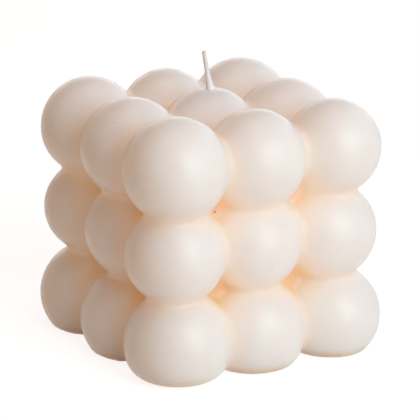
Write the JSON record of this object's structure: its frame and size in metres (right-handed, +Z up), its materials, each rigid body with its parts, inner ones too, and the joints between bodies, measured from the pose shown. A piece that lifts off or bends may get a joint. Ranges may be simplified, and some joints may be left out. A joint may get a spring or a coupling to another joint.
{
  "type": "cube candle",
  "caption": "Solid wax candle moulded as a cube of balls that run into each other, on a flat base, with a cotton wick standing out of the middle of the top.",
  "frame": {"origin": "centre of the flat base, where the wick's lower end lies", "axes": "+Z up along the wick, +X to the right along the front face, +Y from the front face to the back"},
  "size_m": [0.0608, 0.0608, 0.0649],
  "materials": {
    "wax": "satin, slightly translucent wax, pale cream with a warm tint",
    "cotton": "waxed cotton cord, off white"
  },
  "bodies": {
    "root": {"wax_body": "wax", "wick": "cotton"}
  },
  "joints": []
}
